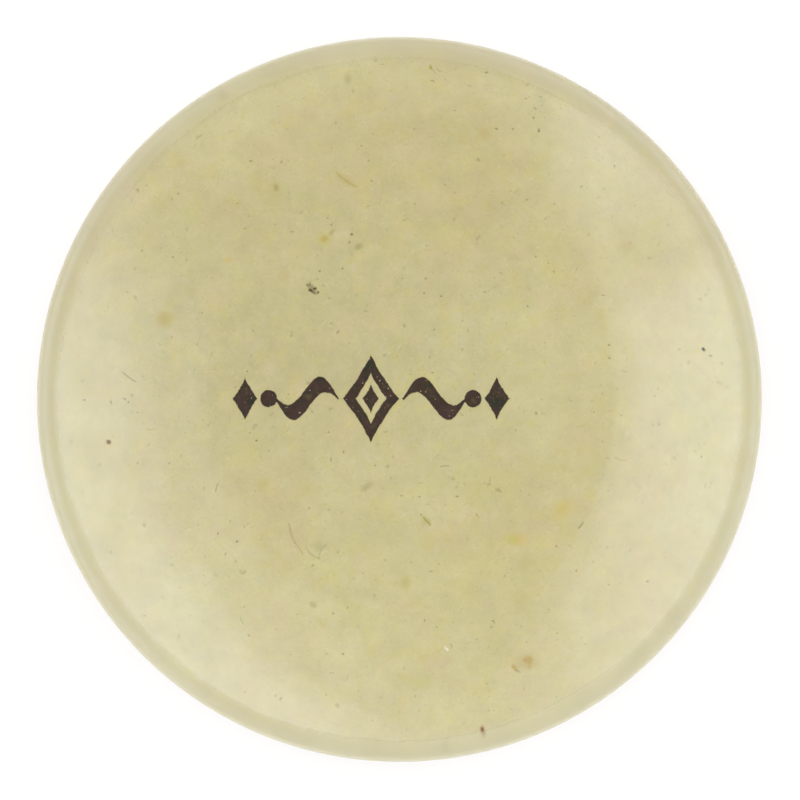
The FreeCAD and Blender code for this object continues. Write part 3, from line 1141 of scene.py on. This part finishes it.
def whiteWorld():
    # even light all round; the camera sees white, and gloss sees a room that is darker overhead
    world = bpy.data.worlds.new("studio")
    bpy.context.scene.world = world
    world.use_nodes = True
    tree = world.node_tree
    tree.nodes.clear()
    path = put(tree, "ShaderNodeLightPath").outputs
    heading = splitXyz(tree, put(tree, "ShaderNodeTexCoord").outputs["Generated"])
    climb = timesPlus(tree, heading[1], stage["roomLean"], heading[2])
    room = ramp(tree, climb, *stage["roomTop"], stage["level"], stage["overhead"])
    horizon = ramp(tree, heading[1], *stage["roomTurn"], stage["near"], stage["far"])
    higher = ramp(tree, heading[2], *stage["roomLow"])
    room = times(tree, room, blendLevel(tree, higher, horizon, 1.0))
    seen = calc(tree, "MAXIMUM", path["Is Camera Ray"], path["Is Transmission Ray"])
    level = calc(tree, "MAXIMUM", times(tree, path["Is Glossy Ray"], room), seen)
    anySeen = calc(tree, "MAXIMUM", seen, path["Is Glossy Ray"])
    level = timesPlus(tree, minus(tree, 1.0, anySeen), stage["ambient"], level)
    light = put(tree, "ShaderNodeBackground", {"Color": (1.0, 1.0, 1.0, 1.0), "Strength": level})
    put(tree, "ShaderNodeOutputWorld", {"Surface": light.outputs[0]})


# Two big soft boxes, left and right, light the page. In front of each stands its own mirror
# image for the glass, shaped by two measures: how far out from overhead a direction lies (the
# tangent of its tilt towards the lamp), and how many degrees it is turned from the heading.
lamps = {
    "left": {
        "heading": 180,
        "fill": 0.54,
        "sheen": 1.18,
        # its brightness comes in by steps: from where to where, and how much
        "steps": ((0.325, 0.37, 0.48), (0.37, 0.55, 0.46), (0.60, 0.95, 0.06)),
        "lean": 0.085,  # how much its inner edge slants
        "bow": 0.17,  # and how much it is bowed
        "rise": 0.14,  # how much brighter it grows far out
        "low": (-79, -29),  # the turns between which it comes in
        "high": (64, 54),  # and dies out: gone and full
        # Something stands in front of it: the turns where that starts, is full, starts to end
        # and is over, and how much it takes away.
        "gap": (18, 30, 36, 44, 0.52),
        "gapStart": (0.42, 0.63),  # how far out it starts
        "beyondGap": 0.65,  # how bright the lamp is past it
        "colour": (0.80, 0.87, 1.0),
    },
    "right": {
        "heading": 20,
        "fill": 0.54,
        "sheen": 1.15,
        "steps": ((0.13, 0.33, 0.38), (0.49, 0.58, 0.25), (0.55, 0.86, 0.40)),
        "lean": 0.18,
        "bow": 0.19,
        "rise": 0.1,
        "low": (-66, -18),
        "high": (90, 42),
        "gap": (80, 81, 82, 83, 0.0),
        "gapStart": (0.5, 0.6),
        "beyondGap": 1.0,
        "colour": (0.77, 0.86, 1.0),
    },
}
lampTilt = 45
sheenDistance, sheenWidth, sheenHeight = 0.8, 2.6, 1.2
sheenRise, sheenEnd = (1.1, 1.9), (1.6, 3.2)  # how far out it brightens, and then dies out
sheenSpread = 0.1  # how much wider it grows with each step out
fillDistance, fillWidth, fillHeight = 1.0, 1.7, 0.9


def areaLamp(name, heading, tilt, distance, width, height, strength):
    # aimed at the dish; heading is its compass angle and tilt its angle off vertical
    lamp = bpy.data.lights.new(name, "AREA")
    lamp.shape = "RECTANGLE"
    lamp.size, lamp.size_y = width, height
    lamp.energy = strength * width * height * math.pi
    holder = placed(name, lamp)
    turn, lean = math.radians(heading), math.radians(tilt)
    direction = Vector(
        (math.sin(lean) * math.cos(turn), math.sin(lean) * math.sin(turn), math.cos(lean))
    )
    holder.location = direction * distance
    holder.rotation_euler = direction.to_track_quat("Z", "Y").to_euler()
    holder.visible_camera = False
    holder.visible_transmission = False
    return holder


def shapeSheen(lamp, side):
    # how bright the lamp looks in each direction from the dish
    lamp.use_nodes = True
    tree = lamp.node_tree
    tree.nodes.clear()
    place = splitXyz(tree, put(tree, "ShaderNodeNewGeometry").outputs["Parametric"])
    across = times(tree, minus(tree, place[0], 0.5), sheenWidth / sheenDistance)
    upward = times(tree, minus(tree, place[1], 0.5), sheenHeight / sheenDistance)
    lift = calc(tree, "ADD", upward, 1.0)
    out = calc(tree, "DIVIDE", minus(tree, 1.0, upward), lift)
    aside = calc(tree, "DIVIDE", times(tree, across, math.sqrt(2)), lift)
    turn = times(tree, calc(tree, "ARCTAN2", aside, out), math.degrees(1))
    reach = vec(tree, "LENGTH", joinXyz(tree, out, aside))
    wider = calc(tree, "DIVIDE", turn, timesPlus(tree, reach, sheenSpread, 1.0 - sheenSpread))
    bowed = times(tree, times(tree, aside, aside), side["bow"])
    front = calc(tree, "ADD", timesPlus(tree, aside, -side["lean"], out), bowed)
    level = 0.0
    for start, full, share in side["steps"]:
        level = calc(tree, "ADD", level, ramp(tree, front, start, full, 0.0, share))
    gapStart, gapFull, gapEnding, gapOver, depth = side["gap"]
    within = times(
        tree,
        ramp(tree, turn, gapStart, gapFull),
        ramp(tree, turn, gapEnding, gapOver, depth, 0.0),
    )
    within = times(tree, within, ramp(tree, out, *side["gapStart"]))
    shares = (
        ramp(tree, out, *sheenRise, 1.0, 1.0 + side["rise"]),
        ramp(tree, out, *sheenEnd, 1.0, 0.0),
        ramp(tree, wider, *side["low"]),
        ramp(tree, wider, side["high"][1], side["high"][0], 1.0, 0.0),
        minus(tree, 1.0, within),
        ramp(tree, turn, gapEnding, gapOver, 1.0, side["beyondGap"]),
    )
    for share in shares:
        level = times(tree, level, share)
    glow = put(tree, "ShaderNodeEmission", {"Color": (*side["colour"], 1.0), "Strength": level})
    put(tree, "ShaderNodeOutputLight", {"Surface": glow.outputs[0]})


def lightTheDish():
    for name, side in lamps.items():
        fillSizes = (fillDistance, fillWidth, fillHeight, side["fill"])
        fill = areaLamp(name + "Fill", side["heading"], lampTilt, *fillSizes)
        fill.visible_glossy = False
        sheenSizes = (sheenDistance, sheenWidth, sheenHeight, side["sheen"])
        sheen = areaLamp(name + "Sheen", side["heading"], lampTilt, *sheenSizes)
        sheen.visible_diffuse = False
        shapeSheen(sheen.data, side)


def aimCamera():
    camera = bpy.data.cameras.new("camera")
    camera.sensor_width = stage["sensor"]
    frameWidth = 2 * dishForm["outerRadius"] / stage["dishShare"]
    camera.lens = stage["sensor"] * stage["cameraHeight"] / frameWidth
    camera.clip_end = 10.0
    holder = placed("camera", camera)
    rimWidest = dishForm["rimHeight"] - halfGlass
    offX, offY = offCentre
    holder.location = (offX * mm, offY * mm, rimWidest + stage["cameraHeight"])
    bpy.context.scene.camera = holder


makeFloor()
whiteWorld()
lightTheDish()
aimCamera()
bpy.context.scene.view_settings.view_transform = "Standard"
print("stage, light and camera set")
